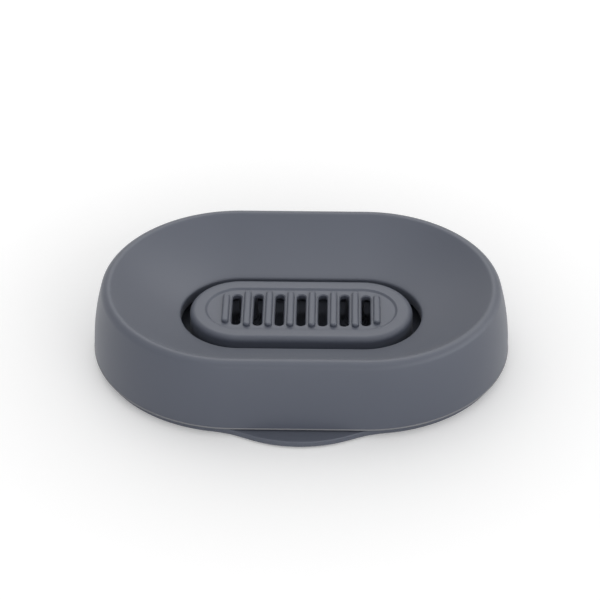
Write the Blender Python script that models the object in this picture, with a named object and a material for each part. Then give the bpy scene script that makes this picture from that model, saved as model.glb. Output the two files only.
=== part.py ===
"""Draining soap dish: a shell with a funnel, a drip tray with a pouring lip, a ribbed soap rest and four feet.

Run with: blender --background --python part.py
Units are metres, +Z is up and the pouring lip points to -Y. The world origin is on the table, under the middle of
the dish's footprint, lip included. Every piece is drawn about the middle of the oval, which the empty dish_centre
puts in its place.
"""
from math import acos, cos, pi, radians, sin, tan

import bmesh
import bpy
from mathutils import Vector

MM = 0.001

# Overall form of the shell
DISH_LENGTH = 140.0 * MM
DISH_WIDTH = 96.6 * MM
SHELL_HEIGHT = 23.4 * MM
WALL_LEAN = radians(7.6)
RIM_RADIUS = 5.0 * MM
SHELL_WALL = 2.4 * MM

# The funnel and the opening in the middle of the shell
OPENING_LENGTH = 80.7 * MM
OPENING_WIDTH = 39.6 * MM
OPENING_DEPTH = 12.0 * MM
OPENING_EDGE_RADIUS = 1.0 * MM
OPENING_SKIRT = 4.4 * MM
SLOPE_SAG = 1.0 * MM

# Clearances between pieces
SEAT_GAP = 0.3 * MM
FIT_GAP = 0.3 * MM
MOAT_GAP = 2.9 * MM

# The drip tray
FOOT_STANDOFF = 0.6 * MM
TRAY_FLOOR = 2.0 * MM
TRAY_EDGE_CHAMFER = 0.3 * MM
LEDGE_UNDER_WALL = 0.6 * MM
SLIT_HEIGHT = 1.0 * MM
OUTLET_WIDTH = 41.0 * MM
OUTLET_STEP = 0.1 * MM
UPSTAND_HEIGHT = 6.0 * MM
UPSTAND_WALL = 1.8 * MM
FLOOR_STEP = 0.2 * MM
FLOOR_FALL = 1.6 * MM

# The pouring lip
LIP_REACH = 5.4 * MM
LIP_TIP_RADIUS = 32.0 * MM
LIP_ROOT_RADIUS = 24.0 * MM

# The soap rest
REST_STANDOUT = 1.7 * MM
REST_EDGE_RADIUS = 2.0 * MM
REST_WALL = 1.6 * MM
REST_DRAIN_SPACE = 6.0 * MM
REST_MARGIN = 5.4 * MM
REST_MARGIN_SLOPE = 0.6 * MM
REST_RECESS = 0.6 * MM
REST_PANEL = 1.6 * MM

# Ribs under the soap and the drain slots between them
RIB_PITCH = 7.2 * MM
RIB_WIDTH = 2.4 * MM
RIB_STANDOUT = 0.6 * MM
RIB_ROUND = 0.6 * MM
RIB_END_SPACE = 1.2 * MM
SLOT_WIDTH = 3.0 * MM
SLOT_END_SPACE = 2.0 * MM

# Legs of the rest, and the seats and pegs of the tray that they drop over
LEG_WALL = 1.4 * MM
LEG_INSET = 5.6 * MM
LEG_SPREAD = 36.0 * MM
PEG_RADIUS = 1.5 * MM
PEG_HEIGHT = 4.0 * MM
PEG_CHAMFER = 0.4 * MM
SEAT_MARGIN = 0.8 * MM
SEAT_HEIGHT = 2.2 * MM

# Anti-slip feet in their pockets
FOOT_RADIUS = 6.0 * MM
FOOT_POCKET_DEPTH = 0.9 * MM
FOOT_CHAMFER = 0.3 * MM
FOOT_INSET = 11.5 * MM
FOOT_ANGLE = radians(50)

# Facets: steps in an oval's half circle, in the rolled rim, in the funnel's slope and in small rounds
OVAL_STEPS = 32
RIM_STEPS = 6
SLOPE_STEPS = 5
ROUND_STEPS = 3
LIP_STEPS = 8
PEG_SIDES = 20
FOOT_SIDES = 36
SLOT_STEPS = 6

# How far a shape that is joined to another reaches into it, and a cutter out of it
WELD = 0.5 * MM

# Points closer than this are one point, and edges sharper than this stay sharp
MERGE_DISTANCE = 0.001 * MM
SHARP_ANGLE = radians(35)

# Levels worked out from the sizes above, all measured from the table
TRAY_UNDERSIDE = FOOT_STANDOFF
TRAY_FLOOR_TOP = TRAY_UNDERSIDE + TRAY_FLOOR
SHELL_BOTTOM = TRAY_FLOOR_TOP + SLIT_HEIGHT
LEDGE_TOP = SHELL_BOTTOM - SEAT_GAP
CREST_TOP = SHELL_BOTTOM + SHELL_HEIGHT
OPENING_TOP = CREST_TOP - OPENING_DEPTH
REST_TOP = OPENING_TOP + REST_STANDOUT
PANEL_TOP = REST_TOP - REST_RECESS
PANEL_UNDERSIDE = PANEL_TOP - REST_PANEL
REST_BOTTOM = TRAY_FLOOR_TOP + REST_DRAIN_SPACE
SEAT_TOP = TRAY_FLOOR_TOP + SEAT_HEIGHT
PEG_TOP = SEAT_TOP + PEG_HEIGHT
UPSTAND_TOP = LEDGE_TOP + UPSTAND_HEIGHT

# The rolled rim: a leaning wall, then an arc that ends level at the crest
RIM_START = SHELL_HEIGHT - RIM_RADIUS * (1 - sin(WALL_LEAN))
RIM_START_INSET = RIM_START * tan(WALL_LEAN)
CREST_INSET = RIM_START_INSET + RIM_RADIUS * cos(WALL_LEAN)
WALL_ACROSS = SHELL_WALL / cos(WALL_LEAN)
BAND_INSET = WALL_ACROSS - LEDGE_UNDER_WALL

# The peg sets the bore of the leg, the leg and the seat that it stands on
SOCKET_RADIUS = PEG_RADIUS + FIT_GAP
LEG_RADIUS = SOCKET_RADIUS + LEG_WALL
SEAT_RADIUS = LEG_RADIUS + SEAT_MARGIN

# Finish: slate blue-grey soft-touch plastic, and dark soft feet
PLASTIC_ROUGHNESS = 0.62
RUBBER_ROUGHNESS = 0.85
SHELL_COLOUR = (0.115, 0.127, 0.160, 1.0)
TRAY_COLOUR = (0.110, 0.122, 0.155, 1.0)
REST_COLOUR = (0.100, 0.114, 0.152, 1.0)
FOOT_COLOUR = (0.030, 0.032, 0.036, 1.0)


def oval(half_length, half_width, height, front_steps=1):
    """Two half circles and two straight runs, anticlockwise from the front end of the half circle at +X."""
    run = half_length - half_width
    points = []
    for side, start in ((1, -pi / 2), (-1, pi / 2)):
        for step in range(OVAL_STEPS + 1):
            angle = start + pi * step / OVAL_STEPS
            points.append(Vector((side * run + half_width * cos(angle), half_width * sin(angle), height)))
    for step in range(1, front_steps):
        x = run * (2 * step / front_steps - 1)
        points.append(Vector((x, -half_width, height)))
    return points


def dish_oval(inset, height):
    """The dish's own outline, drawn in by inset."""
    return oval(DISH_LENGTH / 2 - inset, DISH_WIDTH / 2 - inset, height)


def opening_oval(inset, height):
    """The outline of the opening in the shell, drawn in by inset, or let out where inset is negative."""
    return oval(OPENING_LENGTH / 2 - inset, OPENING_WIDTH / 2 - inset, height)


def slope_oval(share, height):
    """An outline on the funnel: share 0 is the crest of the rim, share 1 is the opening's rounded edge."""
    crest = (DISH_LENGTH / 2 - CREST_INSET, DISH_WIDTH / 2 - CREST_INSET)
    edge = (OPENING_LENGTH / 2 + OPENING_EDGE_RADIUS, OPENING_WIDTH / 2 + OPENING_EDGE_RADIUS)
    half_length, half_width = (a + (b - a) * share for a, b in zip(crest, edge))
    return oval(half_length, half_width, height)


def slope_height(share):
    """Height of the funnel's surface, a straight slope that sags by SLOPE_SAG halfway."""
    return CREST_TOP - OPENING_DEPTH * share - SLOPE_SAG * 4 * share * (1 - share)


def skin(bm, lower, upper):
    """A band of faces between two rings of vertices."""
    count = len(lower)
    for i in range(count):
        j = (i + 1) % count
        bm.faces.new((lower[i], lower[j], upper[j], upper[i]))


def shade(mesh):
    """Smooth where the mesh is round, sharp at its corners."""
    mesh.shade_smooth()
    mesh.set_sharp_from_angle(angle=SHARP_ANGLE)


def finish(bm, name):
    """Turn a bmesh into a named object with outward faces."""
    bmesh.ops.remove_doubles(bm, verts=bm.verts, dist=MERGE_DISTANCE)
    bmesh.ops.dissolve_degenerate(bm, edges=bm.edges, dist=MERGE_DISTANCE)
    bmesh.ops.recalc_face_normals(bm, faces=bm.faces)
    mesh = bpy.data.meshes.new(name)
    bm.to_mesh(mesh)
    bm.free()
    shade(mesh)
    piece = bpy.data.objects.new(name, mesh)
    bpy.context.collection.objects.link(piece)
    return piece


def ring_body(name, outlines):
    """A closed ring: its section runs through the outlines in turn and back to the first."""
    bm = bmesh.new()
    rings = [[bm.verts.new(p) for p in outline] for outline in outlines]
    for lower, upper in zip(rings, rings[1:] + rings[:1]):
        skin(bm, lower, upper)
    return finish(bm, name)


def stacked_body(name, outlines):
    """A solid through the outlines in turn, with a flat face on the first and on the last."""
    bm = bmesh.new()
    rings = [[bm.verts.new(p) for p in outline] for outline in outlines]
    for lower, upper in zip(rings, rings[1:]):
        skin(bm, lower, upper)
    bm.faces.new(rings[0])
    bm.faces.new(rings[-1])
    return finish(bm, name)


def round_body(name, sides, sections, centre=(0.0, 0.0)):
    """A turned solid on a vertical axis, given as (radius, height) from one end to the other."""
    outlines = []
    for radius, height in sections:
        ring = []
        for side in range(sides):
            angle = 2 * pi * side / sides
            ring.append(Vector((centre[0] + radius * cos(angle), centre[1] + radius * sin(angle), height)))
        outlines.append(ring)
    return stacked_body(name, outlines)


def box_body(name, low, high):
    """A plain block between two corners."""
    outlines = []
    for height in (low[2], high[2]):
        corners = ((low[0], low[1]), (high[0], low[1]), (high[0], high[1]), (low[0], high[1]))
        outlines.append([Vector((x, y, height)) for x, y in corners])
    return stacked_body(name, outlines)


def combine(piece, steps):
    """Cut and join a piece with its tools, given as (operation, tools), and leave only the finished piece."""
    tools = [(operation, tool) for operation, group in steps for tool in group]
    for operation, tool in tools:
        modifier = piece.modifiers.new(tool.name, "BOOLEAN")
        modifier.operation = operation
        modifier.solver = "EXACT"
        modifier.object = tool
    depsgraph = bpy.context.evaluated_depsgraph_get()
    solid = bpy.data.meshes.new_from_object(piece.evaluated_get(depsgraph))
    piece.modifiers.clear()
    piece.data = solid
    solid.name = piece.name
    shade(solid)
    for _, tool in tools:
        bpy.data.objects.remove(tool, do_unlink=True)


def plastic(name, colour, roughness):
    material = bpy.data.materials.new(name)
    material.use_nodes = True
    shader = material.node_tree.nodes["Principled BSDF"]
    shader.inputs["Base Color"].default_value = colour
    shader.inputs["Roughness"].default_value = roughness
    shader.inputs["Metallic"].default_value = 0.0
    return material


def build_shell():
    """The outer ring: leaning wall, rolled rim, funnel, and a short skirt round the opening."""
    outlines = [dish_oval(0.0, SHELL_BOTTOM)]

    def rim_arc(radius, step):
        angle = WALL_LEAN + (pi / 2 - WALL_LEAN) * step / RIM_STEPS
        inset = CREST_INSET - radius * cos(angle)
        return dish_oval(inset, CREST_TOP - RIM_RADIUS + radius * sin(angle))

    for step in range(RIM_STEPS + 1):
        outlines.append(rim_arc(RIM_RADIUS, step))
    for step in range(1, SLOPE_STEPS + 1):
        share = step / SLOPE_STEPS
        outlines.append(slope_oval(share, slope_height(share)))

    for step in range(1, ROUND_STEPS + 1):
        angle = pi / 2 * step / ROUND_STEPS
        inset = -OPENING_EDGE_RADIUS * (1 - sin(angle))
        drop = OPENING_EDGE_RADIUS * (1 - cos(angle))
        outlines.append(opening_oval(inset, OPENING_TOP - drop))
    outlines.append(opening_oval(0.0, OPENING_TOP - OPENING_SKIRT))
    outlines.append(opening_oval(-SHELL_WALL, OPENING_TOP - OPENING_SKIRT))

    slope_run = (DISH_WIDTH - OPENING_WIDTH) / 2 - CREST_INSET - OPENING_EDGE_RADIUS
    thickness = SHELL_WALL * (1 + (OPENING_DEPTH / slope_run) ** 2) ** 0.5
    skirt_share = 1 - (SHELL_WALL - OPENING_EDGE_RADIUS) / slope_run
    outlines.append(opening_oval(-SHELL_WALL, slope_height(skirt_share) - thickness))
    for step in range(SLOPE_STEPS - 1, 0, -1):
        share = step / SLOPE_STEPS
        outlines.append(slope_oval(share, slope_height(share) - thickness))

    hollow_radius = RIM_RADIUS - SHELL_WALL
    for step in range(RIM_STEPS, -1, -2):
        outlines.append(rim_arc(hollow_radius, step))
    outlines.append(dish_oval(WALL_ACROSS, SHELL_BOTTOM))
    return ring_body("shell", outlines)


def lip_out(x):
    """How far the lip stands out of the band at x: a round tip, then a hollow round on each side into the band."""
    reach = LIP_REACH + BAND_INSET
    turn = acos(1 - reach / (LIP_TIP_RADIUS + LIP_ROOT_RADIUS))
    from_root = (LIP_TIP_RADIUS + LIP_ROOT_RADIUS) * sin(turn) - abs(x)
    if from_root <= 0:
        return 0.0
    if abs(x) <= LIP_TIP_RADIUS * sin(turn):
        return reach - LIP_TIP_RADIUS + (LIP_TIP_RADIUS ** 2 - x * x) ** 0.5
    return LIP_ROOT_RADIUS - (LIP_ROOT_RADIUS ** 2 - from_root ** 2) ** 0.5


def band_outline(inset, height, lip_share=0.0):
    """The tray's outline drawn in by inset from the band, with a share of the lip's reach at the front."""
    inset += BAND_INSET
    points = oval(DISH_LENGTH / 2 - inset, DISH_WIDTH / 2 - inset, height, 2 * LIP_STEPS)
    for point in points:
        if point.y < 0:
            point.y -= lip_share * lip_out(point.x)
    return points


def floor_height(y):
    """The tray's floor falls towards the lip in one plane."""
    share = (y + DISH_WIDTH / 2) / DISH_WIDTH
    return TRAY_FLOOR_TOP + OUTLET_STEP + FLOOR_STEP + FLOOR_FALL * share


def leg_places():
    """Where the rest's four legs and the tray's four pegs stand."""
    y = OPENING_WIDTH / 2 - MOAT_GAP - LEG_INSET
    return [(sx * LEG_SPREAD / 2, sy * y) for sx in (-1, 1) for sy in (-1, 1)]


def foot_places():
    """Names and places of the feet, drawn in from the band on the oval's round ends."""
    out = DISH_WIDTH / 2 - BAND_INSET - FOOT_INSET
    x = (DISH_LENGTH - DISH_WIDTH) / 2 + out * cos(FOOT_ANGLE)
    y = out * sin(FOOT_ANGLE)
    return {
        "foot_pad_front_left": (-x, -y),
        "foot_pad_front_right": (x, -y),
        "foot_pad_back_left": (-x, y),
        "foot_pad_back_right": (x, y),
    }


def build_drip_tray():
    """The base: underside and lip, ledge and upstand, sloping floor, outlet, seats and pegs, foot pockets."""
    chamfer = TRAY_EDGE_CHAMFER
    lip_top_share = 1 - chamfer / (LIP_REACH + BAND_INSET)

    def upstand_inset(height):
        lean = (height - SHELL_BOTTOM) * tan(WALL_LEAN)
        return LEDGE_UNDER_WALL + FIT_GAP / cos(WALL_LEAN) + lean

    inner_inset = upstand_inset(UPSTAND_TOP) + UPSTAND_WALL
    floor_edge = band_outline(inner_inset, 0.0)
    for point in floor_edge:
        point.z = floor_height(point.y)

    tray = stacked_body("drip_tray", [
        band_outline(chamfer, TRAY_UNDERSIDE, 1.0),
        band_outline(0.0, TRAY_UNDERSIDE + chamfer, 1.0),
        band_outline(0.0, TRAY_FLOOR_TOP - chamfer, 1.0),
        band_outline(0.0, TRAY_FLOOR_TOP, lip_top_share),
        band_outline(0.0, TRAY_FLOOR_TOP),
        band_outline(0.0, LEDGE_TOP - chamfer),
        band_outline(chamfer, LEDGE_TOP),
        band_outline(upstand_inset(LEDGE_TOP), LEDGE_TOP),
        band_outline(upstand_inset(UPSTAND_TOP), UPSTAND_TOP),
        band_outline(inner_inset, UPSTAND_TOP),
        floor_edge,
    ])

    front = -DISH_WIDTH / 2
    outlet = box_body(
        "tray_outlet",
        (-OUTLET_WIDTH / 2, front, TRAY_FLOOR_TOP + OUTLET_STEP),
        (OUTLET_WIDTH / 2, front + BAND_INSET + inner_inset + WELD, UPSTAND_TOP + WELD),
    )

    seats = []
    for number, place in enumerate(leg_places()):
        sections = [
            (SEAT_RADIUS, TRAY_FLOOR_TOP - WELD),
            (SEAT_RADIUS, SEAT_TOP),
            (PEG_RADIUS, SEAT_TOP),
            (PEG_RADIUS, PEG_TOP - PEG_CHAMFER),
            (PEG_RADIUS - PEG_CHAMFER, PEG_TOP),
        ]
        seats.append(round_body(f"tray_seat_{number}", PEG_SIDES, sections, place))

    pockets = []
    for name, place in foot_places().items():
        radius = FOOT_RADIUS + FIT_GAP
        sections = [(radius, -WELD), (radius, TRAY_UNDERSIDE + FOOT_POCKET_DEPTH)]
        pockets.append(round_body(name + "_pocket", FOOT_SIDES, sections, place))

    combine(tray, [("DIFFERENCE", [outlet]), ("UNION", seats), ("DIFFERENCE", pockets)])
    return tray


def panel_half_width(x):
    """Half the width of the rest's sunken panel at x, which follows the oval's round ends."""
    inset = MOAT_GAP + REST_MARGIN + REST_MARGIN_SLOPE
    half_width = OPENING_WIDTH / 2 - inset
    beyond = max(abs(x) - (OPENING_LENGTH - OPENING_WIDTH) / 2, 0.0)
    if beyond >= half_width:
        return 0.0
    return (half_width ** 2 - beyond ** 2) ** 0.5


def bar_body(name, x, width, half_run, sections):
    """An upright bar across the dish with round ends, given as (inset, height) from bottom to top."""
    outlines = []
    for inset, height in sections:
        radius = width / 2 - inset
        ring = []
        for end in (1, -1):
            for step in range(SLOT_STEPS + 1):
                angle = pi * step / SLOT_STEPS + (0 if end == 1 else pi)
                y = end * (half_run - width / 2) + radius * sin(angle)
                ring.append(Vector((x + radius * cos(angle), y, height)))
        outlines.append(ring)
    return stacked_body(name, outlines)


def build_soap_rest():
    """The raised island: rounded cap with a deep edge, ribs, drain slots and four hollow legs."""
    radius = REST_EDGE_RADIUS

    def outline(inset, height):
        return opening_oval(MOAT_GAP + inset, height)

    outlines = [
        outline(REST_WALL, PANEL_UNDERSIDE),
        outline(REST_WALL, REST_BOTTOM),
        outline(0.0, REST_BOTTOM),
    ]
    for step in range(ROUND_STEPS + 1):
        angle = pi / 2 * step / ROUND_STEPS
        outlines.append(outline(radius * (1 - cos(angle)), REST_TOP - radius * (1 - sin(angle))))
    outlines.append(outline(REST_MARGIN, REST_TOP))
    outlines.append(outline(REST_MARGIN + REST_MARGIN_SLOPE, PANEL_TOP))
    rest = stacked_body("soap_rest", outlines)

    panel_half_length = OPENING_LENGTH / 2 - MOAT_GAP - REST_MARGIN - REST_MARGIN_SLOPE
    shortest = RIB_WIDTH + RIB_END_SPACE
    rib_count = 2 * int((panel_half_length - RIB_WIDTH) / RIB_PITCH + 0.5)
    ribs = []
    for number in range(rib_count):
        x = (number - (rib_count - 1) / 2) * RIB_PITCH
        half_run = panel_half_width(abs(x) + RIB_WIDTH / 2) - RIB_END_SPACE
        if half_run < shortest:
            continue
        top = REST_TOP + RIB_STANDOUT
        sections = [(0.0, PANEL_TOP - WELD), (0.0, top - RIB_ROUND), (RIB_ROUND, top)]
        ribs.append(bar_body(f"rest_rib_{number}", x, RIB_WIDTH, half_run, sections))

    slots = []
    for number in range(rib_count - 1):
        x = (number - (rib_count - 2) / 2) * RIB_PITCH
        half_run = panel_half_width(abs(x) + SLOT_WIDTH / 2) - SLOT_END_SPACE
        if half_run < shortest:
            continue
        sections = [(0.0, PANEL_UNDERSIDE - WELD), (0.0, REST_TOP + WELD)]
        slots.append(bar_body(f"rest_slot_{number}", x, SLOT_WIDTH, half_run, sections))

    legs = []
    sockets = []
    for number, place in enumerate(leg_places()):
        foot = SEAT_TOP + SEAT_GAP
        leg = [(LEG_RADIUS, foot), (LEG_RADIUS, PANEL_UNDERSIDE + WELD)]
        legs.append(round_body(f"rest_leg_{number}", PEG_SIDES, leg, place))
        socket = [(SOCKET_RADIUS, foot - WELD), (SOCKET_RADIUS, PEG_TOP + FIT_GAP)]
        sockets.append(round_body(f"rest_socket_{number}", PEG_SIDES, socket, place))

    combine(rest, [("DIFFERENCE", slots), ("UNION", legs + ribs), ("DIFFERENCE", sockets)])
    return rest


def build_foot_pads():
    """Four soft pads, each in its pocket with the clearance all round, standing on the table."""
    top = TRAY_UNDERSIDE + FOOT_POCKET_DEPTH - SEAT_GAP
    pads = []
    for name, place in foot_places().items():
        sections = [(FOOT_RADIUS - FOOT_CHAMFER, 0.0), (FOOT_RADIUS, FOOT_CHAMFER), (FOOT_RADIUS, top)]
        pads.append(round_body(name, FOOT_SIDES, sections, place))
    return pads


def main():
    for leftover in list(bpy.data.objects):
        bpy.data.objects.remove(leftover, do_unlink=True)

    dish_centre = bpy.data.objects.new("dish_centre", None)
    bpy.context.collection.objects.link(dish_centre)
    dish_centre.location = (0.0, LIP_REACH / 2, 0.0)

    shell = build_shell()
    drip_tray = build_drip_tray()
    soap_rest = build_soap_rest()
    foot_pads = build_foot_pads()

    shell.data.materials.append(plastic("soft_touch_shell", SHELL_COLOUR, PLASTIC_ROUGHNESS))
    drip_tray.data.materials.append(plastic("soft_touch_tray", TRAY_COLOUR, PLASTIC_ROUGHNESS))
    soap_rest.data.materials.append(plastic("soft_touch_rest", REST_COLOUR, PLASTIC_ROUGHNESS))
    foot_rubber = plastic("foot_rubber", FOOT_COLOUR, RUBBER_ROUGHNESS)
    for pad in foot_pads:
        pad.data.materials.append(foot_rubber)

    for piece in [shell, drip_tray, soap_rest] + foot_pads:
        piece.parent = dish_centre


main()
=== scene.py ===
"""Looks of the draining soap dish, on a white table in soft light.

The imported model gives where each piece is. Each piece is modelled again in that place with its rounded
edges, and stands for the plain one. The dish is an oval of two half circles joined by straight runs, so a
section of each moulding is drawn as a chain of points, (distance out from the oval's spine, height), and
taken round the oval.
"""
from math import acos, asin, atan, cos, hypot, pi, radians, sin, sqrt, tan

import bmesh
import bpy
from mathutils import Matrix, Vector


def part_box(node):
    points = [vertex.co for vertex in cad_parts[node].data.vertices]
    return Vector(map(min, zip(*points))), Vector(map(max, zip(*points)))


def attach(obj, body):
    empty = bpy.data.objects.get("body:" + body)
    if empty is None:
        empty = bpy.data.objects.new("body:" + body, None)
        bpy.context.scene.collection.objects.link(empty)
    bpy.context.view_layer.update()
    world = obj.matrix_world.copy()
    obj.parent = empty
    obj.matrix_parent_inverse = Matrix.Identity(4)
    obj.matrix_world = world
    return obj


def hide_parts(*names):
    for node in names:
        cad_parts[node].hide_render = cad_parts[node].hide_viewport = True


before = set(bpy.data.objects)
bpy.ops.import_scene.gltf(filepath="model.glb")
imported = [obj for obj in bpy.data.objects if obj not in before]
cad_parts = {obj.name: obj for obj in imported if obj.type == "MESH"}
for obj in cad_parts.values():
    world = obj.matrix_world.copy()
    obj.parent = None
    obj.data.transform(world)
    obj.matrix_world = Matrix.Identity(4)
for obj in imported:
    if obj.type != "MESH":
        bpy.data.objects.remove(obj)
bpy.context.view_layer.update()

MM = 0.001
UP = Vector((0, 0, 1))

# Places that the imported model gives
shell_low, shell_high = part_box("shell")
tray_low, tray_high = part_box("drip_tray")
rest_low, rest_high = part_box("soap_rest")
CENTRE_Y = (shell_low.y + shell_high.y) / 2
DISH_RADIUS = (shell_high.y - shell_low.y) / 2
SHELL_BOTTOM = shell_low.z
CREST_TOP = shell_high.z
REST_RADIUS = (rest_high.y - rest_low.y) / 2
REST_RIB_TOP = rest_high.z
REST_FOOT = rest_low.z
TRAY_BOTTOM = tray_low.z
UPSTAND_TOP = tray_high.z
FOOT_NAMES = sorted(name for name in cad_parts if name.startswith("foot_pad"))

# The ends of the ovals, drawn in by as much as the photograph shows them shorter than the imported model, and
# how much further out it shows the tray's band
END_TRIM = 0.5 * MM
OPENING_END_TRIM = 0.28 * MM
BAND_PROUD = 0.2 * MM
DISH_RUN = (shell_high.x - shell_low.x) / 2 - DISH_RADIUS - END_TRIM
OPENING_RUN = (rest_high.x - rest_low.x) / 2 - REST_RADIUS - OPENING_END_TRIM
BAND_RADIUS = (tray_high.x - tray_low.x) / 2 - DISH_RUN - END_TRIM + BAND_PROUD
LIP_OUT = CENTRE_Y - BAND_RADIUS - tray_low.y

# Shell
WALL_BOW_RADIUS = 80.0 * MM
SHOULDER_ROUND = 2.8 * MM
SHOULDER_END = radians(60)
CROWN_RADIUS = 3.6 * MM
CREST_ROUND = 2.0 * MM
SHELL_WALL = 2.4 * MM
BEAD_RADIUS = 0.3 * MM
BEAD_PROUD = 0.14 * MM
INNER_EDGE_ROUND = 0.3 * MM
INNER_CORNER_ROUND = 2.0 * MM
OPENING_DEPTH = 11.7 * MM
OPENING_ROUND = 1.0 * MM
OPENING_SKIRT = 4.4 * MM
SKIRT_ROUND = 0.5 * MM
SLOPE_AT_CREST = radians(38)
SLOPE_AT_OPENING = radians(22)
MOAT_GAP = 3.0 * MM
OPENING_RADIUS = REST_RADIUS + MOAT_GAP
OPENING_TOP = CREST_TOP - OPENING_DEPTH
WALL_FOOT = DISH_RADIUS - BEAD_PROUD
CROWN_TOP = CREST_TOP + 0.17 * MM
SHELL_FOOT = SHELL_BOTTOM - 0.45 * MM

# Drip tray and its pouring lip
LIP_TOP = TRAY_BOTTOM + 2.0 * MM
OUTLET_FLOOR = LIP_TOP + 0.1 * MM
LEDGE_TOP = SHELL_FOOT - 0.25 * MM
LEDGE_ROUND = 0.15 * MM
TRAY_EDGE_ROUND = 0.35 * MM
LIP_EDGE_ROUND = 0.45 * MM
LIP_TIP_RADIUS = 38.0 * MM
LIP_ROOT_RADIUS = 24.0 * MM
UPSTAND_INSET = 1.2 * MM
UPSTAND_LEAN = radians(7.6)
UPSTAND_WALL = 1.8 * MM
UPSTAND_ROUND = 0.6 * MM
FLOOR_ROUND = 1.2 * MM
FLOOR_FRONT = TRAY_BOTTOM + 2.4 * MM
FLOOR_DROP = 1.6 * MM
FLOOR_FALL = atan(FLOOR_DROP / (2 * DISH_RADIUS))
OUTLET_HALF_WIDTH = 16.0 * MM
SEAT_TOP = TRAY_BOTTOM + 4.2 * MM
SEAT_RADIUS = 4.0 * MM
SEAT_FLARE = 0.8 * MM
SEAT_CHAMFER = 0.2 * MM
SEAT_ROOT = TRAY_BOTTOM + 1.0 * MM
SEAT_FLARE_FOOT = FLOOR_FRONT + 1.0 * MM
PEG_RADIUS = 1.5 * MM
PEG_TOP = SEAT_TOP + 4.0 * MM
PEG_ROUND = 0.5 * MM

# Soap rest
REST_TOP = REST_RIB_TOP - 0.6 * MM
REST_EDGE_ROUND = 2.0 * MM
REST_BOTTOM = LIP_TOP + 6.0 * MM
REST_WALL = 1.6 * MM
REST_HEM_ROUND = 0.5 * MM
REST_CORNER_ROUND = 0.8 * MM
REST_MARGIN = 5.4 * MM
REST_RECESS = 0.6 * MM
RECESS_ROUND = 0.5 * MM
REST_PANEL = 1.6 * MM
RIB_PITCH = 7.2 * MM
RIB_WIDTH = 2.4 * MM
RIB_ROUND = 0.75 * MM
RIB_END_SPACE = 1.2 * MM
SLOT_WIDTH = 3.0 * MM
SLOT_END_SPACE = 2.0 * MM
SLOT_CHAMFER = 0.35 * MM
SLOTS_EACH_SIDE = 3
LEG_RADIUS = 3.2 * MM
LEG_FROM_EDGE = 5.6 * MM
LEG_SPREAD = 36.0 * MM
LEG_CHAMFER = 0.3 * MM
LEG_FLARE = 0.5 * MM
SOCKET_RADIUS = 1.8 * MM
SOCKET_ROOM = 0.3 * MM

# Anti-slip feet
FOOT_ROUND = 0.35 * MM
FOOT_GROOVE = 0.25 * MM
FOOT_GROOVES_AT = (2.2 * MM, 4.0 * MM)
POCKET_ROOM = 0.3 * MM

# Steps that the rounds are made in
HALF_TURN_STEPS = 96
WALL_STEPS = 12
CROWN_STEPS = 8
SHOULDER_STEPS = 8
EDGE_STEPS = 5
SMALL_EDGE_STEPS = 3
GROOVE_STEPS = 4
SLOPE_CUTS = 15
UNDERSIDE_CUTS = 7
LIP_COLUMNS = 34
SMALL_HALF_TURN_STEPS = 14
TURNED_STEPS = 48

# Tolerances, how far a cutter overshoots, and the angle below which an edge is shaded smooth
SAME_PLACE = 0.004 * MM
COLUMN_DIGITS = 5
MERGE_WITHIN = 0.002 * MM
CUT_PAST = 1.0 * MM
SMOOTH_BELOW = radians(32)

# Camera, fitted to the outlines of the dish in the photograph, which is 600 pixels wide. Its angles are in
# radians.
IMAGE_PX = 600
SENSOR_WIDTH = 36.0
CLIP_NEAR = 10 * MM
CLIP_FAR = 20.0
CAMERA_FOCUS_PX = 2422.95
CAMERA_DISTANCE = 815.53 * MM
CAMERA_ELEVATION = 0.617254
CAMERA_YAW = -0.018714
CAMERA_ROLL = -0.000691
CAMERA_ASIDE_PX = 1.1846
CAMERA_RAISE_PX = 40.1319

# Table, room and lamps. A lamp's row is its name, place, width, height and watts, and whether it lights matt
# surfaces. A card doesn't, and only shows in the gloss.
TABLE_SIZE = 6.0
TABLE_WHITE = 0.9
TABLE_LIFT = 0.18
FAR_LIFT = 0.75
FADE_FROM = 0.055
FADE_TO = 0.4
ROOM_LEVEL = 0.60
LAMPS = (
    ("lamp_top", (0.0, 0.1, 1.4), 1.6, 1.6, 0.5, True),
    ("lamp_back_high", (-0.2, 0.9, 1.15), 1.3, 1.3, 3.2, True),
    ("lamp_front", (0.45, -1.5, 0.7), 2.2, 1.2, 5.4, True),
    ("lamp_front_low", (0.3, -1.6, 0.32), 2.2, 0.6, 2.2, True),
    ("lamp_front_right", (1.1, -1.1, 0.7), 1.2, 1.0, 2.8, True),
    ("lamp_right_card", (1.4, -0.1, 0.55), 2.0, 1.0, 13.0, False),
    ("lamp_back_card", (0.35, 1.15, 1.5), 2.0, 1.0, 13.0, False),
    ("lamp_top_card", (0.2, -0.1, 1.5), 1.8, 1.6, 8.0, False),
)

# Plastic and rubber
SHELL_COLOUR = (0.091, 0.101, 0.130)
# The tray's colour is the shell's plastic painted a little lighter, to lift the lip where the wall shades it
TRAY_COLOUR_PAINTED_LIGHTER = (0.094, 0.104, 0.133)
# The rest's colour is the shell's plastic painted a little darker and bluer, as painted shade for where it
# sits under the soap
REST_COLOUR_PAINTED_DARKER = (0.086, 0.096, 0.126)
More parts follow.
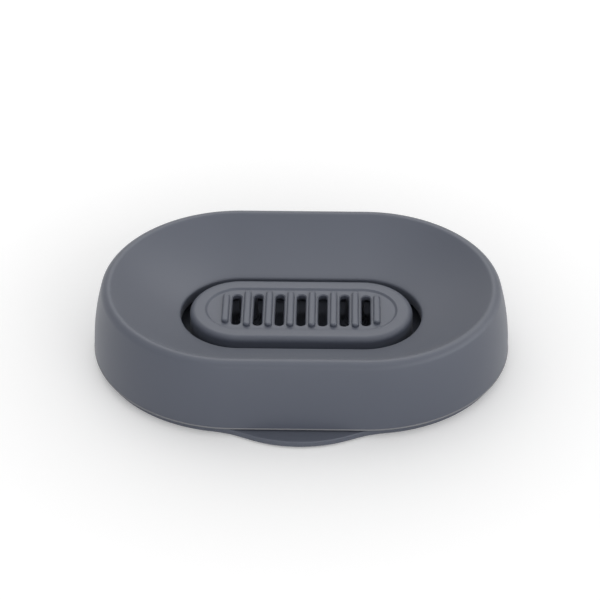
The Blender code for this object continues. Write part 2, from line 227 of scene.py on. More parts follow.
# Painted highlight: a pale line in the shell's colour along the top of its bottom bead, with its width and
# its height above the shell's foot
EDGE_HIGHLIGHT_COLOUR = (0.185, 0.187, 0.200)
EDGE_HIGHLIGHT_WIDTH = 0.4 * MM
EDGE_HIGHLIGHT_UP = 0.38 * MM
MOTTLE_SCALE = 45.0
MOTTLE_DETAIL = 4.0
MOTTLE_DEPTH = 0.035
GRAIN_SCALE = 2600.0
GRAIN_DETAIL = 3.0
GRAIN_STRENGTH = 0.35
GRAIN_HEIGHT = 0.02 * MM
PLASTIC_ROUGHNESS = 0.42
ROUGHNESS_SPREAD = 0.04
GLOSS = 0.35
VELVET = 0.05
VELVET_ROUGHNESS = 0.5
RUBBER_ROUGHNESS = 0.8
RUBBER_COLOUR = (0.030, 0.032, 0.036)


def point_off(centre, radius, angle):
    """The point of a section at a distance from another, in one direction."""
    return centre[0] + radius * cos(angle), centre[1] + radius * sin(angle)


def arc(centre, radius, start, end, steps=EDGE_STEPS):
    """Points along an arc of a section, between two directions."""
    return [point_off(centre, radius, start + (end - start) * step / steps) for step in range(steps + 1)]


def deselect_all():
    bpy.ops.object.select_all(action="DESELECT")


def edit(piece):
    """Open one piece in edit mode, with nothing of it selected."""
    deselect_all()
    piece.select_set(True)
    bpy.context.view_layer.objects.active = piece
    bpy.ops.object.mode_set(mode="EDIT")
    bpy.ops.mesh.select_mode(type="VERT")
    bpy.ops.mesh.select_all(action="DESELECT")


def select_vertices(test):
    """In edit mode, select the vertices whose place passes the test, and nothing else."""
    mesh = bmesh.from_edit_mesh(bpy.context.edit_object.data)
    for vertex in mesh.verts:
        vertex.select = test(vertex.co)
    mesh.select_flush_mode()
    bmesh.update_edit_mesh(bpy.context.edit_object.data)


def close_up():
    """Merge what meets, turn the faces outwards and leave edit mode."""
    bpy.ops.mesh.select_all(action="SELECT")
    bpy.ops.mesh.remove_doubles(threshold=MERGE_WITHIN)
    bpy.ops.mesh.normals_make_consistent(inside=False)
    bpy.ops.mesh.select_all(action="DESELECT")
    bpy.ops.object.mode_set(mode="OBJECT")


def draw_section(name, section, spine_end, side):
    """Start a piece: one vertex at the spine's end, extruded from point to point of the section."""
    deselect_all()
    bpy.ops.mesh.primitive_plane_add(size=MM)
    piece = bpy.context.active_object
    piece.name = name
    piece.data.name = name
    bpy.ops.object.mode_set(mode="EDIT")
    bpy.ops.mesh.select_mode(type="VERT")
    bpy.ops.mesh.select_all(action="SELECT")
    bpy.ops.mesh.merge(type="CENTER")
    places = [spine_end + side * out + UP * height for out, height in section]
    bpy.ops.transform.translate(value=places[0])
    for here, there in zip(places, places[1:]):
        bpy.ops.mesh.extrude_vertices_move(TRANSFORM_OT_translate={"value": there - here})
    bpy.ops.mesh.select_all(action="SELECT")
    return piece


def take_round(name, section, first, second, steps, cuts=()):
    """A section taken half a turn about each end of the spine, with a straight after each. The straights can
    have cuts, given as distances from their start."""
    along = (second - first).normalized()
    length = (second - first).length
    piece = draw_section(name, section, first, Vector((-along.y, along.x, 0)))
    for end, way in ((first, 1), (second, -1)):
        bpy.ops.mesh.spin(steps=steps, angle=-pi, center=end, axis=UP)
        stops = [0.0, *cuts, length]
        for here, there in zip(stops, stops[1:]):
            stride = along * way * (there - here)
            bpy.ops.mesh.extrude_region_move(TRANSFORM_OT_translate={"value": stride})
    close_up()
    return piece


def turn(name, section, x, y):
    """A section turned about an upright axis."""
    axis = Vector((x, y, 0))
    piece = draw_section(name, section, axis, Vector((1, 0, 0)))
    bpy.ops.mesh.spin(steps=TURNED_STEPS, angle=2 * pi, center=axis, axis=UP)
    close_up()
    return piece


def copy_at(piece, name, x, y):
    """A copy with its own mesh, moved along the table."""
    deselect_all()
    piece.select_set(True)
    bpy.context.view_layer.objects.active = piece
    step = {"value": (x, y, 0)}
    bpy.ops.object.duplicate_move(OBJECT_OT_duplicate={"linked": False}, TRANSFORM_OT_translate=step)
    copy = bpy.context.active_object
    copy.name = name
    copy.data.name = name
    bpy.ops.object.transform_apply(location=True, rotation=True, scale=True)
    return copy


def join(pieces):
    """Several pieces as one, under the first one's name."""
    deselect_all()
    for piece in pieces:
        piece.select_set(True)
    bpy.context.view_layer.objects.active = pieces[0]
    bpy.ops.object.join()
    return pieces[0]


def combine(piece, operation, tools):
    """Join tools to a piece, or cut them out of it. The tools are used up."""
    tool = join(tools)
    deselect_all()
    piece.select_set(True)
    bpy.context.view_layer.objects.active = piece
    modifier = piece.modifiers.new(operation.lower(), "BOOLEAN")
    modifier.operation = operation
    modifier.solver = "EXACT"
    modifier.object = tool
    bpy.ops.object.modifier_apply(modifier=modifier.name)
    bpy.data.objects.remove(tool)


def spine(run):
    """The two ends of an oval's spine, right and left."""
    return Vector((run, CENTRE_Y, 0)), Vector((-run, CENTRE_Y, 0))


def off_spine(place, run):
    """How far a place stands out from the spine of an oval."""
    return hypot(max(abs(place.x) - run, 0.0), place.y - CENTRE_Y)


def on_ring(place, run, out, height):
    return abs(place.z - height) < SAME_PLACE and abs(off_spine(place, run) - out) < SAME_PLACE


def touching_wall(radius, height):
    """How far out the centre of a round stands that touches the bowed wall from inside, at this height. The
    wall stands upright at the shell's bottom edge and leans in more and more towards the rim."""
    return WALL_FOOT - WALL_BOW_RADIUS + sqrt((WALL_BOW_RADIUS - radius) ** 2 - (height - SHELL_BOTTOM) ** 2)


def wall_lean(radius, height):
    """How far the wall leans where such a round touches it."""
    return asin((height - SHELL_BOTTOM) / (WALL_BOW_RADIUS - radius))


def funnel_height(top, foot, share):
    """Height of the funnel between two of its points: steep under the crest and flatter at the opening."""
    run = top[0] - foot[0]
    s = share
    from_top = top[1] * (2 * s ** 3 - 3 * s ** 2 + 1) - run * tan(SLOPE_AT_CREST) * (s ** 3 - 2 * s ** 2 + s)
    from_foot = foot[1] * (3 * s ** 2 - 2 * s ** 3) - run * tan(SLOPE_AT_OPENING) * (s ** 3 - s ** 2)
    return from_top + from_foot


def bridge_funnel(top, foot, cuts):
    """In edit mode, span from a ring of the rim to a ring of the opening's collar and let the span sag."""
    def on_either(place):
        return on_ring(place, DISH_RUN, *top) or on_ring(place, OPENING_RUN, *foot)

    select_vertices(on_either)
    bpy.ops.mesh.bridge_edge_loops(type="SINGLE", number_cuts=cuts, interpolation="LINEAR")
    for cut in range(1, cuts + 1):
        share = cut / (cuts + 1)
        run = DISH_RUN + (OPENING_RUN - DISH_RUN) * share
        out = top[0] + (foot[0] - top[0]) * share
        height = top[1] + (foot[1] - top[1]) * share
        select_vertices(lambda place: on_ring(place, run, out, height))
        bpy.ops.transform.translate(value=(0, 0, funnel_height(top, foot, share) - height))


def make_shell():
    """The shell: bowed wall, crowned rim, soft crest, funnel, and a collar round the opening."""
    wall_centre = (WALL_FOOT - WALL_BOW_RADIUS, SHELL_BOTTOM)
    shoulder_height = CROWN_TOP - CROWN_RADIUS + (CROWN_RADIUS - SHOULDER_ROUND) * sin(SHOULDER_END)
    shoulder_centre = (touching_wall(SHOULDER_ROUND, shoulder_height), shoulder_height)
    shoulder_start = wall_lean(SHOULDER_ROUND, shoulder_height)
    crown_centre = point_off(shoulder_centre, CROWN_RADIUS - SHOULDER_ROUND, SHOULDER_END + pi)
    inner_radius = CROWN_RADIUS - CREST_ROUND
    crest_turn = SLOPE_AT_CREST + asin((CROWN_RADIUS * cos(SLOPE_AT_CREST) - CREST_ROUND) / inner_radius)
    crest_centre = point_off(crown_centre, inner_radius, crest_turn)

    bead_centre = (DISH_RADIUS - BEAD_RADIUS, SHELL_FOOT + BEAD_RADIUS)
    bead_top = acos((WALL_FOOT - bead_centre[0]) / BEAD_RADIUS)
    bead = arc(bead_centre, BEAD_RADIUS, bead_top, -pi / 2, 2 * EDGE_STEPS)

    edge_gap = SHELL_WALL - INNER_EDGE_ROUND
    edge_height = SHELL_FOOT + INNER_EDGE_ROUND
    edge_centre = (touching_wall(edge_gap, edge_height), edge_height)
    edge_lean = wall_lean(edge_gap, edge_height)
    corner_gap = SHELL_WALL + INNER_CORNER_ROUND
    corner_height = CREST_TOP - corner_gap
    corner_centre = (touching_wall(corner_gap, corner_height), corner_height)
    corner_lean = wall_lean(corner_gap, corner_height)
    body_section = [
        *arc(crest_centre, CREST_ROUND, pi / 2 + SLOPE_AT_CREST, crest_turn, 2 * EDGE_STEPS),
        *arc(crown_centre, CROWN_RADIUS, crest_turn, SHOULDER_END, CROWN_STEPS)[1:],
        *arc(shoulder_centre, SHOULDER_ROUND, SHOULDER_END, shoulder_start, SHOULDER_STEPS)[1:],
        *arc(wall_centre, WALL_BOW_RADIUS, shoulder_start, wall_lean(0, bead[0][1]), WALL_STEPS)[1:-1],
        *bead,
        *arc(edge_centre, INNER_EDGE_ROUND, -pi / 2, edge_lean - pi, SMALL_EDGE_STEPS),
        *arc(wall_centre, WALL_BOW_RADIUS - SHELL_WALL, edge_lean, corner_lean)[1:-1],
        *arc(corner_centre, INNER_CORNER_ROUND, corner_lean, pi / 2),
    ]

    collar_centre = (OPENING_RADIUS + OPENING_ROUND, OPENING_TOP - OPENING_ROUND / cos(SLOPE_AT_OPENING))
    skirt_bottom = OPENING_TOP - OPENING_SKIRT + SKIRT_ROUND
    skirt_out = OPENING_RADIUS + SHELL_WALL
    funnel_rise = (SHELL_WALL - OPENING_ROUND) * tan(SLOPE_AT_OPENING)
    under_collar = (skirt_out, OPENING_TOP + funnel_rise - SHELL_WALL / cos(SLOPE_AT_OPENING))
    collar_section = [
        *arc(collar_centre, OPENING_ROUND, pi / 2 + SLOPE_AT_OPENING, pi),
        *arc((OPENING_RADIUS + SKIRT_ROUND, skirt_bottom), SKIRT_ROUND, pi, 3 * pi / 2),
        *arc((skirt_out - SKIRT_ROUND, skirt_bottom), SKIRT_ROUND, 3 * pi / 2, 2 * pi),
        under_collar,
    ]

    shell = take_round("shell_moulding", body_section, *spine(DISH_RUN), HALF_TURN_STEPS)
    collar = take_round("shell_collar", collar_section, *spine(OPENING_RUN), HALF_TURN_STEPS)
    join([shell, collar])
    edit(shell)
    bridge_funnel(body_section[0], collar_section[0], SLOPE_CUTS)
    bridge_funnel(body_section[-1], under_collar, UNDERSIDE_CUTS)
    close_up()
    return shell


def lip_reach(x):
    """How far the lip stands out of the tray's band at x: a round tip, with a hollow round on each side."""
    span = LIP_TIP_RADIUS + LIP_ROOT_RADIUS
    spread = acos(1 - LIP_OUT / span)
    from_root = span * sin(spread) - abs(x)
    if from_root <= 0:
        return 0.0
    if abs(x) <= LIP_TIP_RADIUS * sin(spread):
        return LIP_OUT - LIP_TIP_RADIUS + sqrt(LIP_TIP_RADIUS ** 2 - x * x)
    return LIP_ROOT_RADIUS - sqrt(LIP_ROOT_RADIUS ** 2 - from_root ** 2)


def pull_lip(rings):
    """In edit mode, pull the front of the tray's edge out into the lip, column by column. The rings are given
    as (lowest height, highest height, share of the reach)."""
    mesh = bmesh.from_edit_mesh(bpy.context.edit_object.data)
    near_edge = BAND_RADIUS - TRAY_EDGE_ROUND - SAME_PLACE
    columns = set()
    for vertex in mesh.verts:
        place = vertex.co
        if place.y < CENTRE_Y and off_spine(place, DISH_RUN) > near_edge and lip_reach(place.x) > 0:
            columns.add(round(abs(place.x), COLUMN_DIGITS))
    for column in sorted(columns):
        for low, high, share in rings:
            def in_column(place):
                if round(abs(place.x), COLUMN_DIGITS) != column or place.y > CENTRE_Y:
                    return False
                level = low - SAME_PLACE < place.z < high + SAME_PLACE
                return level and off_spine(place, DISH_RUN) > near_edge

            select_vertices(in_column)
            bpy.ops.transform.translate(value=(0, -lip_reach(column) * share, 0))


def open_outlet(floor_out, floor_height):
    """In edit mode, take the ledge and the upstand away behind the lip, and close the gap with a channel."""
    mesh = bmesh.from_edit_mesh(bpy.context.edit_object.data)
    bpy.ops.mesh.select_mode(type="FACE")
    front = CENTRE_Y - BAND_RADIUS
    for face in mesh.faces:
        middle = face.calc_center_median()
        within = abs(middle.x) < OUTLET_HALF_WIDTH and middle.z > OUTLET_FLOOR
        face.select = within and front - SAME_PLACE < middle.y < CENTRE_Y - floor_out
    bmesh.update_edit_mesh(bpy.context.edit_object.data)
    bpy.ops.mesh.delete(type="FACE")
    bpy.ops.mesh.select_mode(type="VERT")

    def on_channel_edge(place):
        if abs(place.x) > OUTLET_HALF_WIDTH + SAME_PLACE or place.y > CENTRE_Y:
            return False
        at_lip = abs(place.y - front) < SAME_PLACE and abs(place.z - OUTLET_FLOOR) < SAME_PLACE
        at_floor = abs(place.y - CENTRE_Y + floor_out) < SAME_PLACE and place.z < floor_height + SAME_PLACE
        return at_lip or at_floor and place.z > OUTLET_FLOOR

    select_vertices(on_channel_edge)
    bpy.ops.mesh.bridge_edge_loops(type="SINGLE", number_cuts=1, interpolation="LINEAR")
    for side in (1, -1):
        def on_end(place):
            if abs(place.x - side * OUTLET_HALF_WIDTH) > SAME_PLACE or place.z < OUTLET_FLOOR - SAME_PLACE:
                return False
            return front - SAME_PLACE < place.y < CENTRE_Y - floor_out + SAME_PLACE

        select_vertices(on_end)
        bpy.ops.mesh.edge_face_add()


def leg_places():
    """Where the rest's four legs and the tray's four pegs stand, from the dish's centre."""
    y = REST_RADIUS - LEG_FROM_EDGE
    return [(sx * LEG_SPREAD / 2, sy * y) for sx in (-1, 1) for sy in (-1, 1)]


def make_tray():
    """The tray: flat base with the pouring lip, ledge, upstand, sloping floor, seats and pegs."""
    lip_round_height = LIP_TOP - LIP_EDGE_ROUND
    lip_rings = [(TRAY_BOTTOM, lip_round_height, 1.0)]
    lip_section = []
    for inset, height in arc((0, lip_round_height), LIP_EDGE_ROUND, 0, pi / 2):
        share = 1 - (LIP_EDGE_ROUND - inset) / LIP_OUT
        lip_section.append((BAND_RADIUS, height))
        if height > lip_round_height:
            lip_rings.append((height, height, share))

    upstand_out = BAND_RADIUS - UPSTAND_INSET
    top_out = upstand_out - (UPSTAND_TOP - LEDGE_TOP) * tan(UPSTAND_LEAN)
    inner_out = top_out - UPSTAND_WALL
    round_height = UPSTAND_TOP - UPSTAND_ROUND
    floor_out = inner_out - FLOOR_ROUND
    edge_centre = (BAND_RADIUS - TRAY_EDGE_ROUND, TRAY_BOTTOM + TRAY_EDGE_ROUND)
    section = [
        (0, TRAY_BOTTOM),
        *arc(edge_centre, TRAY_EDGE_ROUND, -pi / 2, 0),
        *lip_section,
        (BAND_RADIUS, OUTLET_FLOOR),
        *arc((BAND_RADIUS - LEDGE_ROUND, LEDGE_TOP - LEDGE_ROUND), LEDGE_ROUND, 0, pi / 2, SMALL_EDGE_STEPS),
        (upstand_out, LEDGE_TOP),
        *arc((top_out - UPSTAND_ROUND, round_height), UPSTAND_ROUND, UPSTAND_LEAN, pi / 2),
        *arc((inner_out + UPSTAND_ROUND, round_height), UPSTAND_ROUND, pi / 2, pi),
        *arc((floor_out, FLOOR_FRONT + FLOOR_ROUND), FLOOR_ROUND, 0, -pi / 2),
        (0, FLOOR_FRONT),
    ]
    margin = DISH_RUN - OUTLET_HALF_WIDTH
    columns = [margin + 2 * OUTLET_HALF_WIDTH * i / LIP_COLUMNS for i in range(LIP_COLUMNS + 1)]
    tray = take_round("tray_moulding", section, *spine(DISH_RUN), HALF_TURN_STEPS, columns)

    edit(tray)
    pull_lip(lip_rings)
    open_outlet(floor_out, FLOOR_FRONT)
    hinge = Vector((0, CENTRE_Y - inner_out, FLOOR_FRONT))

    def on_floor(place):
        level = FLOOR_FRONT - SAME_PLACE < place.z < FLOOR_FRONT + FLOOR_ROUND - SAME_PLACE
        return level and off_spine(place, DISH_RUN) < inner_out + SAME_PLACE

    select_vertices(on_floor)
    bpy.ops.transform.rotate(value=-FLOOR_FALL, orient_axis="X", center_override=hinge)
    close_up()

    seat_section = [
        (0, SEAT_ROOT),
        (SEAT_RADIUS + SEAT_FLARE, SEAT_ROOT),
        *arc((SEAT_RADIUS + SEAT_FLARE, SEAT_FLARE_FOOT + SEAT_FLARE), SEAT_FLARE, -pi / 2, -pi),
        (SEAT_RADIUS, SEAT_TOP - SEAT_CHAMFER),
        (SEAT_RADIUS - SEAT_CHAMFER, SEAT_TOP),
        (PEG_RADIUS, SEAT_TOP),
        *arc((PEG_RADIUS - PEG_ROUND, PEG_TOP - PEG_ROUND), PEG_ROUND, 0, pi / 2),
        (0, PEG_TOP),
    ]
    first, *others = leg_places()
    seat = turn("tray_seat", seat_section, first[0], CENTRE_Y + first[1])
    seats = [seat] + [copy_at(seat, "tray_seat", x - first[0], y - first[1]) for x, y in others]
    combine(tray, "UNION", seats)

    pockets = []
    for name in FOOT_NAMES:
        low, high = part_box(name)
        radius = (high.x - low.x) / 2 + POCKET_ROOM
        depth = high.z + POCKET_ROOM
        pocket_section = [(0, -CUT_PAST), (radius, -CUT_PAST), (radius, depth), (0, depth)]
        pockets.append(turn("pocket", pocket_section, (low.x + high.x) / 2, (low.y + high.y) / 2))
    combine(tray, "DIFFERENCE", pockets)
    return tray


def panel_half_width(x):
    """Half the width of the rest's sunken panel at x, which has round ends."""
    half_width = REST_RADIUS - REST_MARGIN - REST_RECESS
    beyond = max(abs(x) - OPENING_RUN, 0.0)
    return sqrt(max(half_width ** 2 - beyond ** 2, 0.0))


def bars(name, section, half_width, places, end_space):
    """Bars across the rest, modelled once and copied, each as long as the panel allows at its place."""
    longest = panel_half_width(0) - end_space - half_width
    middle = Vector((0, CENTRE_Y, 0))
    stride = Vector((0, longest, 0))
    bar = take_round(name, section, middle + stride, middle - stride, SMALL_HALF_TURN_STEPS)
    row = []
    for x in places:
        copy = copy_at(bar, name, x, 0)
        half_run = panel_half_width(abs(x) + half_width) - end_space - half_width
        edit(copy)
        for way in (1, -1):
            select_vertices(lambda place: way * (place.y - CENTRE_Y) > SAME_PLACE)
            bpy.ops.transform.translate(value=(0, way * (half_run - longest), 0))
        bpy.ops.object.mode_set(mode="OBJECT")
        row.append(copy)
    bpy.data.objects.remove(bar)
    return row


def make_rest():
    """The soap rest: rounded cap with a sunken panel, ribs, drain slots and four hollow legs."""
    panel_out = REST_RADIUS - REST_MARGIN - REST_RECESS
    panel_top = REST_TOP - REST_RECESS
    underside = panel_top - REST_PANEL
    recess_out = panel_out + REST_RECESS + RECESS_ROUND
    edge_out = REST_RADIUS - REST_EDGE_ROUND
    inner_out = REST_RADIUS - REST_WALL
    corner = (inner_out - REST_CORNER_ROUND, underside - REST_CORNER_ROUND)
    hem = REST_HEM_ROUND
    slant = pi / 4
    section = [
        (0, panel_top),
        *arc((panel_out, panel_top + RECESS_ROUND), RECESS_ROUND, -pi / 2, -pi / 2 + slant, SMALL_EDGE_STEPS),
        *arc((recess_out, REST_TOP - RECESS_ROUND), RECESS_ROUND, pi - slant, pi / 2, SMALL_EDGE_STEPS),
        *arc((edge_out, REST_TOP - REST_EDGE_ROUND), REST_EDGE_ROUND, pi / 2, 0, 2 * EDGE_STEPS),
        *arc((REST_RADIUS - hem, REST_BOTTOM + hem), hem, 0, -pi / 2),
        *arc((inner_out + hem, REST_BOTTOM + hem), hem, -pi / 2, -pi),
        *arc(corner, REST_CORNER_ROUND, 0, pi / 2),
        (0, underside),
    ]
    rest = take_round("rest_moulding", section, *spine(OPENING_RUN), HALF_TURN_STEPS // 2)

    slot_half = SLOT_WIDTH / 2
    slot_section = [
        (0, underside - CUT_PAST),
        (slot_half, underside - CUT_PAST),
        (slot_half, panel_top - SLOT_CHAMFER),
        (slot_half + SLOT_CHAMFER, panel_top),
        (slot_half + 2 * SLOT_CHAMFER, panel_top + SLOT_CHAMFER),
        (0, panel_top + SLOT_CHAMFER),
    ]
    rib_half = RIB_WIDTH / 2
    rib_section = [
        (0, panel_top - REST_PANEL / 2),
        (rib_half, panel_top - REST_PANEL / 2),
        *arc((rib_half - RIB_ROUND, REST_RIB_TOP - RIB_ROUND), RIB_ROUND, 0, pi / 2),
        (0, REST_RIB_TOP),
    ]
    slot_places = [RIB_PITCH * i for i in range(-SLOTS_EACH_SIDE, SLOTS_EACH_SIDE + 1)]
    rib_places = [RIB_PITCH * (i + 0.5) for i in range(-SLOTS_EACH_SIDE - 1, SLOTS_EACH_SIDE + 1)]
    slots = bars("rest_slot", slot_section, slot_half, slot_places, SLOT_END_SPACE)
    ribs = bars("rest_rib", rib_section, rib_half, rib_places, RIB_END_SPACE)
    combine(rest, "DIFFERENCE", slots)

    socket_top = PEG_TOP + SOCKET_ROOM
    flare_centre = (LEG_RADIUS + LEG_FLARE, underside - LEG_FLARE)
    leg_top = underside + REST_PANEL / 3
    leg_section = [
        (0, socket_top),
        (SOCKET_RADIUS, socket_top),
        (SOCKET_RADIUS, REST_FOOT + LEG_CHAMFER),
        (SOCKET_RADIUS + LEG_CHAMFER, REST_FOOT),
        (LEG_RADIUS - LEG_CHAMFER, REST_FOOT),
        (LEG_RADIUS, REST_FOOT + LEG_CHAMFER),
        (LEG_RADIUS, underside - LEG_FLARE),
        *arc(flare_centre, LEG_FLARE, pi, pi / 2, SMALL_EDGE_STEPS)[1:],
        (LEG_RADIUS + LEG_FLARE, leg_top),
        (0, leg_top),
    ]
    first, *others = leg_places()
    leg = turn("rest_leg", leg_section, first[0], CENTRE_Y + first[1])
    legs = [leg] + [copy_at(leg, "rest_leg", x - first[0], y - first[1]) for x, y in others]
    combine(rest, "UNION", legs + ribs)
    return rest


def make_feet():
    """One turned foot with two rings let into its sole, and three copies."""
    low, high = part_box(FOOT_NAMES[0])
    radius = (high.x - low.x) / 2
    sole = [(0, 0)]
    for groove in FOOT_GROOVES_AT:
        sole += arc((groove, 0), FOOT_GROOVE, pi, 0, GROOVE_STEPS)
    section = [
        *sole,
        *arc((radius - FOOT_ROUND, FOOT_ROUND), FOOT_ROUND, -pi / 2, 0),
        (radius, high.z),
        (0, high.z),
    ]
    x, y = (low.x + high.x) / 2, (low.y + high.y) / 2
    first = turn("foot_" + FOOT_NAMES[0], section, x, y)
    feet = {FOOT_NAMES[0]: first}
    for name in FOOT_NAMES[1:]:
        other_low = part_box(name)[0]
        feet[name] = copy_at(first, "foot_" + name, other_low.x - low.x, other_low.y - low.y)
    return feet


def soft_touch(name, colour, roughness):
    """Soft-touch plastic or rubber: matt, faintly mottled, with a very fine grain and a breath of velvet."""
    material = bpy.data.materials.new(name)
    material.use_nodes = True
    nodes = material.node_tree.nodes
    links = material.node_tree.links
    shader = nodes["Principled BSDF"]
    place = nodes.new("ShaderNodeTexCoord")

    mottle = nodes.new("ShaderNodeTexNoise")
    mottle.inputs["Scale"].default_value = MOTTLE_SCALE
    mottle.inputs["Detail"].default_value = MOTTLE_DETAIL
    links.new(place.outputs["Object"], mottle.inputs["Vector"])
    tint = nodes.new("ShaderNodeMixRGB")
    tint.inputs["Color1"].default_value = (*[c * (1 - MOTTLE_DEPTH) for c in colour], 1)
    tint.inputs["Color2"].default_value = (*[c * (1 + MOTTLE_DEPTH) for c in colour], 1)
    links.new(mottle.outputs["Fac"], tint.inputs["Fac"])
    links.new(tint.outputs["Color"], shader.inputs["Base Color"])

    grain = nodes.new("ShaderNodeTexNoise")
    grain.inputs["Scale"].default_value = GRAIN_SCALE
    grain.inputs["Detail"].default_value = GRAIN_DETAIL
    links.new(place.outputs["Object"], grain.inputs["Vector"])
    bump = nodes.new("ShaderNodeBump")
    bump.inputs["Strength"].default_value = GRAIN_STRENGTH
    bump.inputs["Distance"].default_value = GRAIN_HEIGHT
    links.new(grain.outputs["Fac"], bump.inputs["Height"])
    links.new(bump.outputs["Normal"], shader.inputs["Normal"])

    spread = nodes.new("ShaderNodeMapRange")
    spread.inputs["To Min"].default_value = roughness - ROUGHNESS_SPREAD
    spread.inputs["To Max"].default_value = roughness + ROUGHNESS_SPREAD
    links.new(grain.outputs["Fac"], spread.inputs["Value"])
    links.new(spread.outputs["Result"], shader.inputs["Roughness"])
    shader.inputs["Specular IOR Level"].default_value = GLOSS
    shader.inputs["Sheen Weight"].default_value = VELVET
    shader.inputs["Sheen Roughness"].default_value = VELVET_ROUGHNESS
    return material


def paint_edge_highlight(material, height):
    """A painted highlight: a pale line painted into the colour round a moulding at one height, standing in
    for the light that its edge catches.
    """
    nodes = material.node_tree.nodes
    links = material.node_tree.links
    colour = nodes["Principled BSDF"].inputs["Base Color"]
    parts = nodes.new("ShaderNodeSeparateXYZ")
    links.new(nodes["Texture Coordinate"].outputs["Object"], parts.inputs["Vector"])
    near = nodes.new("ShaderNodeMath")
    near.operation = "COMPARE"
    near.inputs[1].default_value = height
    near.inputs[2].default_value = EDGE_HIGHLIGHT_WIDTH / 2
    links.new(parts.outputs["Z"], near.inputs[0])
    highlighted = nodes.new("ShaderNodeMixRGB")
    highlighted.inputs["Color2"].default_value = (*EDGE_HIGHLIGHT_COLOUR, 1)
    links.new(near.outputs["Value"], highlighted.inputs["Fac"])
    links.new(colour.links[0].from_socket, highlighted.inputs["Color1"])
    links.new(highlighted.outputs["Color"], colour)


def background_rays(nodes, links):
    """A value of 1 on the rays that show the background: of the camera, of gloss and of clear things."""
    ray = nodes.new("ShaderNodeLightPath")
    shown = ray.outputs["Is Camera Ray"]
    for kind in ("Is Glossy Ray", "Is Transmission Ray"):
        either = nodes.new("ShaderNodeMath")
        either.operation = "MAXIMUM"
        links.new(shown, either.inputs[0])
        links.new(ray.outputs[kind], either.inputs[1])
        shown = either.outputs["Value"]
    return shown


def table_top():
    """A white table that takes the dish's shadow, a little lightened where it shows as background, and more
    so away from the dish."""
    deselect_all()
    bpy.ops.mesh.primitive_plane_add(size=TABLE_SIZE)
    table = bpy.context.active_object
    table.name = "table_top"
    material = bpy.data.materials.new("white_table")
    material.use_nodes = True
    nodes = material.node_tree.nodes
    links = material.node_tree.links
    nodes.clear()
    paint = nodes.new("ShaderNodeBsdfDiffuse")
    paint.inputs["Color"].default_value = (*[TABLE_WHITE] * 3, 1)
    place = nodes.new("ShaderNodeTexCoord")
    away = nodes.new("ShaderNodeVectorMath")
    away.operation = "LENGTH"
    links.new(place.outputs["Object"], away.inputs[0])
    fade = nodes.new("ShaderNodeMapRange")
    fade.inputs["From Min"].default_value = FADE_FROM
    fade.inputs["From Max"].default_value = FADE_TO
    fade.inputs["To Min"].default_value = TABLE_LIFT
    fade.inputs["To Max"].default_value = FAR_LIFT
    links.new(away.outputs["Value"], fade.inputs["Value"])
    lift = nodes.new("ShaderNodeEmission")
    links.new(fade.outputs["Result"], lift.inputs["Strength"])
    lifted = nodes.new("ShaderNodeAddShader")
    links.new(paint.outputs["BSDF"], lifted.inputs[0])
    links.new(lift.outputs["Emission"], lifted.inputs[1])
    choose = nodes.new("ShaderNodeMixShader")
    links.new(background_rays(nodes, links), choose.inputs["Fac"])
    links.new(paint.outputs["BSDF"], choose.inputs[1])
    links.new(lifted.outputs["Shader"], choose.inputs[2])
    output = nodes.new("ShaderNodeOutputMaterial")
    links.new(choose.outputs["Shader"], output.inputs["Surface"])
    table.data.materials.append(material)


def lights():
    """An even room, broad soft lamps, and cards of light that only show in the gloss."""
    world = bpy.data.worlds.new("studio")
    bpy.context.scene.world = world
    world.use_nodes = True
    nodes = world.node_tree.nodes
    links = world.node_tree.links
    nodes.clear()
    level = nodes.new("ShaderNodeMixRGB")
    level.inputs["Color1"].default_value = (*[ROOM_LEVEL] * 3, 1)
    level.inputs["Color2"].default_value = (1, 1, 1, 1)
    links.new(background_rays(nodes, links), level.inputs["Fac"])
    room = nodes.new("ShaderNodeBackground")
    links.new(level.outputs["Color"], room.inputs["Color"])
    output = nodes.new("ShaderNodeOutputWorld")
    links.new(room.outputs["Background"], output.inputs["Surface"])
    for name, place, wide, high, watts, lights_matt in LAMPS:
        deselect_all()
        bpy.ops.object.light_add(type="AREA", location=place)
        lamp = bpy.context.active_object
        lamp.name = name
        lamp.data.shape = "RECTANGLE"
        lamp.data.size = wide
        lamp.data.size_y = high
        lamp.data.energy = watts
        lamp.visible_diffuse = lights_matt
        aim = Vector((0, CENTRE_Y, 0)) - Vector(place)
        lamp.rotation_euler = aim.to_track_quat("-Z", "Y").to_euler()


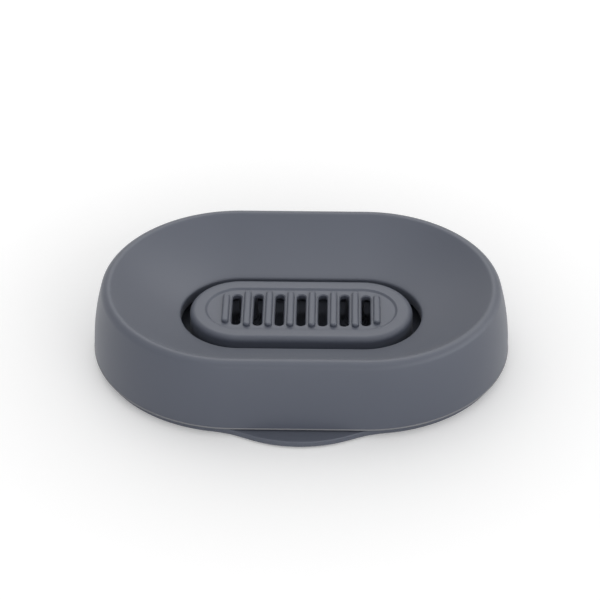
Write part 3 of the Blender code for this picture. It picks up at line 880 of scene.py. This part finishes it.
def camera():
    """The camera, placed about the shell's bottom edge at the dish's centre."""
    deselect_all()
    bpy.ops.object.camera_add()
    view = bpy.context.active_object
    view.name = "camera"
    view.data.sensor_width = SENSOR_WIDTH
    view.data.lens = CAMERA_FOCUS_PX * SENSOR_WIDTH / IMAGE_PX
    across, up = CAMERA_ASIDE_PX / CAMERA_FOCUS_PX, CAMERA_RAISE_PX / CAMERA_FOCUS_PX
    stand = Matrix.Translation((0, CENTRE_Y, SHELL_BOTTOM)) @ Matrix.Rotation(-CAMERA_YAW, 4, "Z")
    tilt = Matrix.Rotation(pi / 2 - CAMERA_ELEVATION, 4, "X")
    back = Matrix.Translation(Vector((-across, up, 1)) * CAMERA_DISTANCE)
    view.matrix_world = stand @ tilt @ back @ Matrix.Rotation(CAMERA_ROLL, 4, "Z")
    view.data.clip_start = CLIP_NEAR
    view.data.clip_end = CLIP_FAR
    bpy.context.scene.camera = view


def dress(piece, material, body, node):
    """Shade a piece, and put it in its node's place."""
    deselect_all()
    piece.select_set(True)
    bpy.context.view_layer.objects.active = piece
    bpy.ops.object.shade_smooth_by_angle(angle=SMOOTH_BELOW)
    piece.data.materials.clear()
    piece.data.materials.append(material)
    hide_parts(node)
    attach(piece, body)


shell_plastic = soft_touch("soft_touch_shell", SHELL_COLOUR, PLASTIC_ROUGHNESS)
# The shell gets a painted highlight line along the top of its bottom bead
paint_edge_highlight(shell_plastic, SHELL_FOOT + EDGE_HIGHLIGHT_UP)
# The tray's copy of the plastic is painted a little lighter, for light the lip doesn't get
tray_plastic_lightened = soft_touch("soft_touch_tray", TRAY_COLOUR_PAINTED_LIGHTER, PLASTIC_ROUGHNESS)
# The rest's copy of the plastic is painted a little darker and bluer, as painted shade
rest_plastic_darkened = soft_touch("soft_touch_rest", REST_COLOUR_PAINTED_DARKER, PLASTIC_ROUGHNESS)
dress(make_shell(), shell_plastic, "shell", "shell")
dress(make_tray(), tray_plastic_lightened, "tray", "drip_tray")
dress(make_rest(), rest_plastic_darkened, "rest", "soap_rest")
rubber = soft_touch("foot_rubber", RUBBER_COLOUR, RUBBER_ROUGHNESS)
for node, foot in make_feet().items():
    dress(foot, rubber, "tray", node)

table_top()
lights()
camera()
bpy.context.scene.view_settings.view_transform = "Standard"
